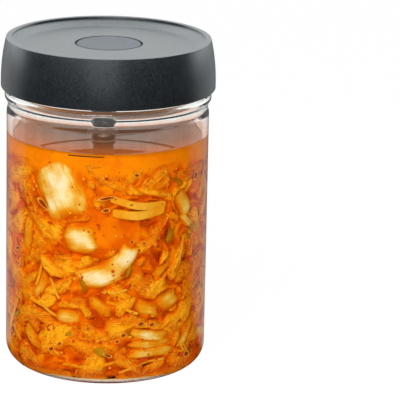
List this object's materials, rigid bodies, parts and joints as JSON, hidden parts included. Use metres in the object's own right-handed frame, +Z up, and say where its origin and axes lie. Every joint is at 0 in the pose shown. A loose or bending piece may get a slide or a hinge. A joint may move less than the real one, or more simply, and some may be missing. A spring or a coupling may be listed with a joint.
{
  "type": "fermentation jar",
  "caption": "Straight glass fermentation jar filled with kimchi, under a moulded plastic screw lid with a flush silicone valve and a steel knob hanging to the brine.",
  "frame": {"origin": "middle of the foot that the jar stands on", "axes": "+Z up along the jar's axis; the knob under the lid hangs 2.2 mm towards -X of it, and -Y is the side that carries the fill line"},
  "size_m": [0.1144, 0.1144, 0.1788],
  "materials": {
    "glass": "clear pressed glass",
    "lid_plastic": "fine-grained moulded, charcoal",
    "silicone": "matt silicone, charcoal",
    "stem_plastic": "smooth moulded, black",
    "steel": "turned and polished stainless",
    "kimchi": "wet cabbage in orange brine"
  },
  "bodies": {
    "root": {"glass_jar": "glass", "lid": "lid_plastic", "valve_disc": "silicone", "press_stem": "stem_plastic", "press_knob": "steel", "kimchi": "kimchi"}
  },
  "joints": []
}
